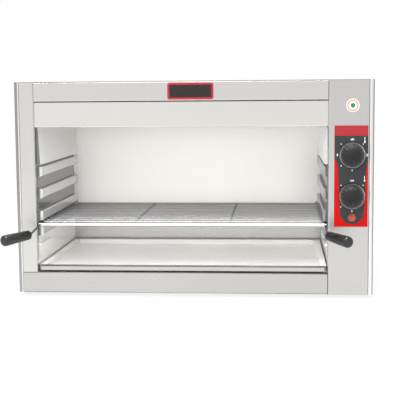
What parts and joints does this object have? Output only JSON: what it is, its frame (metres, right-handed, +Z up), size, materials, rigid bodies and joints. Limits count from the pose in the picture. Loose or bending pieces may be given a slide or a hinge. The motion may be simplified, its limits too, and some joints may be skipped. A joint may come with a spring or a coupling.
{
  "type": "cheese melter",
  "caption": "Counter-top electric salamander grill: open-front stainless case with top heaters, a handled wire rack on ribbed guides, a drip tray and a side control column.",
  "frame": {"origin": "under the middle of the part's box, on the surface that the feet stand on", "axes": "+X to the right seen from the front, +Y to the back, +Z up"},
  "size_m": [0.6548, 0.5204, 0.395],
  "materials": {
    "case_steel": "fine brushed stainless sheet",
    "liner_steel": "bright polished stainless sheet",
    "rack_steel": "bright plated steel wire",
    "tray_steel": "bright pressed stainless sheet",
    "heater_metal": "dark heat-blued sheathed tube",
    "brass": "turned brass",
    "screw_steel": "zinc plated",
    "insulation": "mineral wool blanket",
    "knob_black": "satin moulded phenolic",
    "grip_black": "satin moulded phenolic",
    "plate_print": "screen-printed plate, red with a black field",
    "badge_print": "blank badge, dark field with a red border",
    "label_print": "plain round label",
    "lamp_lens": "red lens, lit",
    "lamp_black": "moulded nylon",
    "thermostat_metal": "pressed housing",
    "copper": "copper capillary",
    "ceramic": "unglazed steatite",
    "wire_sleeve": "glass-fibre sleeve",
    "rubber": "moulded rubber",
    "gland_black": "moulded nylon"
  },
  "bodies": {
    "case": {"base_pan": "case_steel", "left_side_panel": "case_steel", "right_side_panel": "case_steel", "top_cover": "case_steel", "back_cover": "case_steel", "left_stile": "case_steel", "top_rail": "case_steel", "bottom_rail": "case_steel", "control_fascia": "case_steel", "header_skirt": "case_steel", "casing_screws": "screw_steel", "left_liner": "liner_steel", "right_liner": "liner_steel", "back_liner": "liner_steel", "floor_liner": "liner_steel", "heater_canopy": "liner_steel", "left_reflector": "liner_steel", "right_reflector": "liner_steel", "left_rack_guide": "liner_steel", "right_rack_guide": "liner_steel", "front_heater": "heater_metal", "rear_heater": "heater_metal", "heater_bushings": "brass", "heater_hangers": "liner_steel", "top_insulation": "insulation", "rear_insulation": "insulation", "left_insulation": "insulation", "right_insulation": "insulation", "control_plate": "plate_print", "upper_thermostat": "thermostat_metal", "lower_thermostat": "thermostat_metal", "upper_sensor": "copper", "lower_sensor": "copper", "lamp_bezel": "lamp_black", "lamp_lens": "lamp_lens", "lamp_body": "lamp_black", "terminal_block": "ceramic", "wiring_harness": "wire_sleeve", "badge_plate": "badge_print", "round_label": "label_print", "rubber_feet": "rubber", "foot_screws": "screw_steel", "cable_gland": "gland_black", "gland_lock_nut": "gland_black", "earth_stud": "screw_steel", "earth_nuts": "brass"},
    "rack": {"rack_frame": "rack_steel", "rack_wires": "rack_steel", "rack_cross_bars": "rack_steel", "left_handle_rod": "rack_steel", "right_handle_rod": "rack_steel", "left_grip": "grip_black", "right_grip": "grip_black"},
    "drip_tray": {"drip_tray": "tray_steel"},
    "upper_knob": {"upper_knob": "knob_black", "upper_spindle": "screw_steel"},
    "lower_knob": {"lower_knob": "knob_black", "lower_spindle": "screw_steel"}
  },
  "joints": [
    {"name": "rack_slide", "type": "slide", "parent": "case", "child": "rack", "axis": [0, -1, 0], "range_m": [0, 0.24]},
    {"name": "tray_slide", "type": "slide", "parent": "case", "child": "drip_tray", "axis": [0, -1, 0], "range_m": [0, 0.3]},
    {"name": "upper_knob_turn", "type": "hinge", "parent": "case", "child": "upper_knob", "pos_m": [0.286, -0.14185, 0.261], "axis": [0, 1, 0], "range_deg": [0, 270]},
    {"name": "lower_knob_turn", "type": "hinge", "parent": "case", "child": "lower_knob", "pos_m": [0.286, -0.14185, 0.1875], "axis": [0, 1, 0], "range_deg": [0, 270]}
  ]
}
